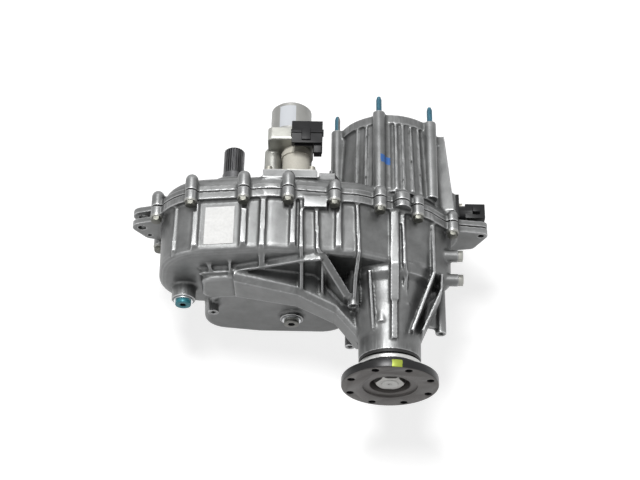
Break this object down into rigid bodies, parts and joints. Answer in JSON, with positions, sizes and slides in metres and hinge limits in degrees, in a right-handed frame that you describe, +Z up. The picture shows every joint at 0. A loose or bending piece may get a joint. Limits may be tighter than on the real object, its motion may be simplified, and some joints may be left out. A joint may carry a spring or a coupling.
{
  "type": "transfer case",
  "caption": "Two-speed chain-drive transfer case: split cast housing, gearbox studs, rear output flange, splined front output and electric shift motor.",
  "frame": {"origin": "centre of the gearbox face, on the main shaft's axis", "axes": "+Y along the main shaft towards the gearbox, +Z up, +X to the right seen from the output flange"},
  "size_m": [0.505, 0.421, 0.2697],
  "materials": {
    "cast_alloy": "die cast",
    "sealant": "matt",
    "bolt_steel": "zinc plated",
    "stud_coat": "coated",
    "plug_coat": "coated",
    "washer_alloy": "satin",
    "bearing_steel": "ground",
    "gear_steel": "machined",
    "seal_rubber": "matt",
    "flange_steel": "phosphate",
    "bright_steel": "plated",
    "lining": "porous",
    "can_metal": "drawn",
    "cream_plastic": "moulded",
    "black_plastic": "moulded",
    "label_white": "matt",
    "magnet_iron": "plain",
    "ring_blue": "moulded",
    "fork_alloy": "cast"
  },
  "bodies": {
    "housing": {"rear_case": "cast_alloy", "front_case": "cast_alloy", "motor_gear_housing": "cast_alloy", "case_gasket": "sealant", "case_bolts": "bolt_steel", "accessory_bolts": "bolt_steel", "case_dowels": "bolt_steel", "side_plugs": "bolt_steel", "gearbox_studs": "stud_coat", "oil_plugs": "plug_coat", "plug_washers": "washer_alloy", "bearing_outer_races": "bearing_steel", "bearing_balls": "bearing_steel", "needle_bearing": "bearing_steel", "shift_rail": "bearing_steel", "input_seal": "seal_rubber", "rear_output_seal": "seal_rubber", "front_output_seal": "seal_rubber", "ring_gear": "gear_steel", "snap_rings": "gear_steel", "drive_chain": "gear_steel", "ball_ramp_base": "gear_steel", "oil_pump_housing": "gear_steel", "motor_can": "can_metal", "motor_sensor_housing": "cream_plastic", "motor_connector": "black_plastic", "speed_sensor": "black_plastic", "vent_fitting": "black_plastic", "oil_pickup": "black_plastic", "blank_label": "label_white", "sump_magnet": "magnet_iron"},
    "input": {"input_shaft": "gear_steel", "input_bearing_cone": "bearing_steel", "pilot_bushing": "bearing_steel"},
    "carrier": {"planet_carrier": "gear_steel", "planet_pins": "bearing_steel"},
    "planet_1": {"planet_gear_1": "gear_steel"},
    "planet_2": {"planet_gear_2": "gear_steel"},
    "planet_3": {"planet_gear_3": "gear_steel"},
    "planet_4": {"planet_gear_4": "gear_steel"},
    "main_shaft": {"output_shaft": "gear_steel", "output_flange": "flange_steel", "flange_nut": "bright_steel", "dust_deflector": "bright_steel", "rear_bearing_cone": "bearing_steel", "clutch_hub": "gear_steel", "friction_plates": "lining", "pump_rotor": "gear_steel"},
    "clutch_drum": {"drive_sprocket": "gear_steel", "steel_plates": "gear_steel"},
    "front_output": {"driven_sprocket": "gear_steel", "front_output_shaft": "gear_steel", "front_bearing_cone": "bearing_steel", "front_shaft_ring": "ring_blue"},
    "sleeve": {"range_sleeve": "gear_steel"},
    "fork": {"range_fork": "fork_alloy"},
    "cam": {"selector_cam": "gear_steel"},
    "armature": {"motor_armature": "magnet_iron"},
    "clutch_plate": {"pressure_plate": "gear_steel"},
    "ramp": {"ball_ramp_ring": "gear_steel"}
  },
  "joints": [
    {"name": "main_spin", "type": "hinge", "parent": "housing", "child": "main_shaft", "pos_m": [0, -0.3, 0], "axis": [0, 1, 0], "continuous": true},
    {"name": "input_spin", "type": "hinge", "parent": "housing", "child": "input", "pos_m": [0, -0.06, 0], "axis": [0, 1, 0], "continuous": true},
    {"name": "carrier_spin", "type": "hinge", "parent": "housing", "child": "carrier", "pos_m": [0, -0.095, 0], "axis": [0, 1, 0], "continuous": true},
    {"name": "planet_1_spin", "type": "hinge", "parent": "carrier", "child": "planet_1", "pos_m": [0.0405, -0.095, 0], "axis": [0, 1, 0], "continuous": true},
    {"name": "planet_2_spin", "type": "hinge", "parent": "carrier", "child": "planet_2", "pos_m": [0, -0.095, 0.0405], "axis": [0, 1, 0], "continuous": true},
    {"name": "planet_3_spin", "type": "hinge", "parent": "carrier", "child": "planet_3", "pos_m": [-0.0405, -0.095, 0], "axis": [0, 1, 0], "continuous": true},
    {"name": "planet_4_spin", "type": "hinge", "parent": "carrier", "child": "planet_4", "pos_m": [0, -0.095, -0.0405], "axis": [0, 1, 0], "continuous": true},
    {"name": "clutch_drum_spin", "type": "hinge", "parent": "housing", "child": "clutch_drum", "pos_m": [0, -0.19, 0], "axis": [0, 1, 0], "continuous": true},
    {"name": "front_output_spin", "type": "hinge", "parent": "housing", "child": "front_output", "pos_m": [-0.225, -0.15, 0.022], "axis": [0, 1, 0], "continuous": true},
    {"name": "motor_turn", "type": "hinge", "parent": "housing", "child": "armature", "pos_m": [-0.142, -0.02, 0.074], "axis": [0, 1, 0], "range_deg": [0, 3600]},
    {"name": "selector_turn", "type": "hinge", "parent": "housing", "child": "cam", "pos_m": [-0.133, -0.14, 0.07], "axis": [0, 1, 0], "range_deg": [0, 120]},
    {"name": "fork_slide", "type": "slide", "parent": "housing", "child": "fork", "axis": [0, 1, 0], "range_m": [0, 0.008]},
    {"name": "sleeve_slide", "type": "slide", "parent": "main_shaft", "child": "sleeve", "axis": [0, 1, 0], "range_m": [0, 0.008]},
    {"name": "ramp_turn", "type": "hinge", "parent": "housing", "child": "ramp", "pos_m": [0, -0.237, 0], "axis": [0, 1, 0], "range_deg": [0, 20]},
    {"name": "clutch_slide", "type": "slide", "parent": "housing", "child": "clutch_plate", "axis": [0, 1, 0], "range_m": [0, 0.0018]}
  ],
  "couplings": [
    {"joint": "input_spin", "follows": "main_spin", "ratio": 1},
    {"joint": "carrier_spin", "follows": "main_spin", "ratio": 0.33333},
    {"joint": "planet_1_spin", "follows": "main_spin", "ratio": -1.3333},
    {"joint": "planet_2_spin", "follows": "main_spin", "ratio": -1.3333},
    {"joint": "planet_3_spin", "follows": "main_spin", "ratio": -1.3333},
    {"joint": "planet_4_spin", "follows": "main_spin", "ratio": -1.3333},
    {"joint": "clutch_drum_spin", "follows": "main_spin", "ratio": 1},
    {"joint": "front_output_spin", "follows": "main_spin", "ratio": 1},
    {"joint": "selector_turn", "follows": "motor_turn", "ratio": 0.033333},
    {"joint": "fork_slide", "follows": "motor_turn", "m_per_rad": 0.00012667},
    {"joint": "sleeve_slide", "follows": "motor_turn", "m_per_rad": 0.00012667},
    {"joint": "clutch_slide", "follows": "ramp_turn", "m_per_rad": 0.0051}
  ]
}
